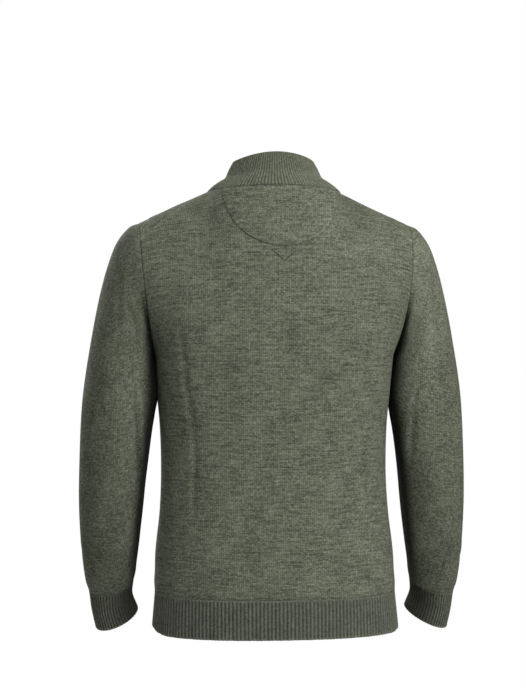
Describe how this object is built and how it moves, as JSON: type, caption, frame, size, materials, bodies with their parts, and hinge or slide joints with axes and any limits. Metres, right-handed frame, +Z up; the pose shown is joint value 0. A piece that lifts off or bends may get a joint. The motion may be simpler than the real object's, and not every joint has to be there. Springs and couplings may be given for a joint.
{
  "type": "worn zip cardigan",
  "caption": "Empty long-sleeved knitted zip cardigan in the shape it has when worn, with a ribbed stand collar, hem and cuffs.",
  "frame": {"origin": "centre of the neck opening's base, at the height of the centre back of the collar seam, where the wearer's neck and shoulders hold the garment", "axes": "+Z up, +X towards the wearer's left, -Y out of the front, +Y out of the back"},
  "size_m": [0.5815, 0.2546, 0.7093],
  "materials": {
    "knit": "heathered fine knit",
    "cable_knit": "heathered cable knit",
    "sleeve_knit": "speckled fine knit",
    "rib": "ribbed knit",
    "zip_tape": "woven tape",
    "zip_metal": "antique metal"
  },
  "bodies": {
    "garment": {"back_panel": "knit", "front_left": "cable_knit", "front_right": "cable_knit", "sleeve_left": "sleeve_knit", "sleeve_right": "sleeve_knit", "neck_patch": "knit", "hem_back": "rib", "hem_front_left": "rib", "hem_front_right": "rib", "cuff_left": "rib", "cuff_right": "rib", "collar": "rib", "zip_tape_left": "zip_tape", "zip_tape_right": "zip_tape", "zip_chain": "zip_metal", "zip_slider": "zip_metal", "zip_stop_left": "zip_metal", "zip_stop_right": "zip_metal", "zip_box": "zip_metal"},
    "pull": {"zip_pull": "zip_metal"}
  },
  "joints": [
    {"name": "pull_tab", "type": "hinge", "parent": "garment", "child": "pull", "pos_m": [0, -0.07368, -0.03288], "axis": [-1, 0, 0], "range_deg": [0, 165]}
  ]
}
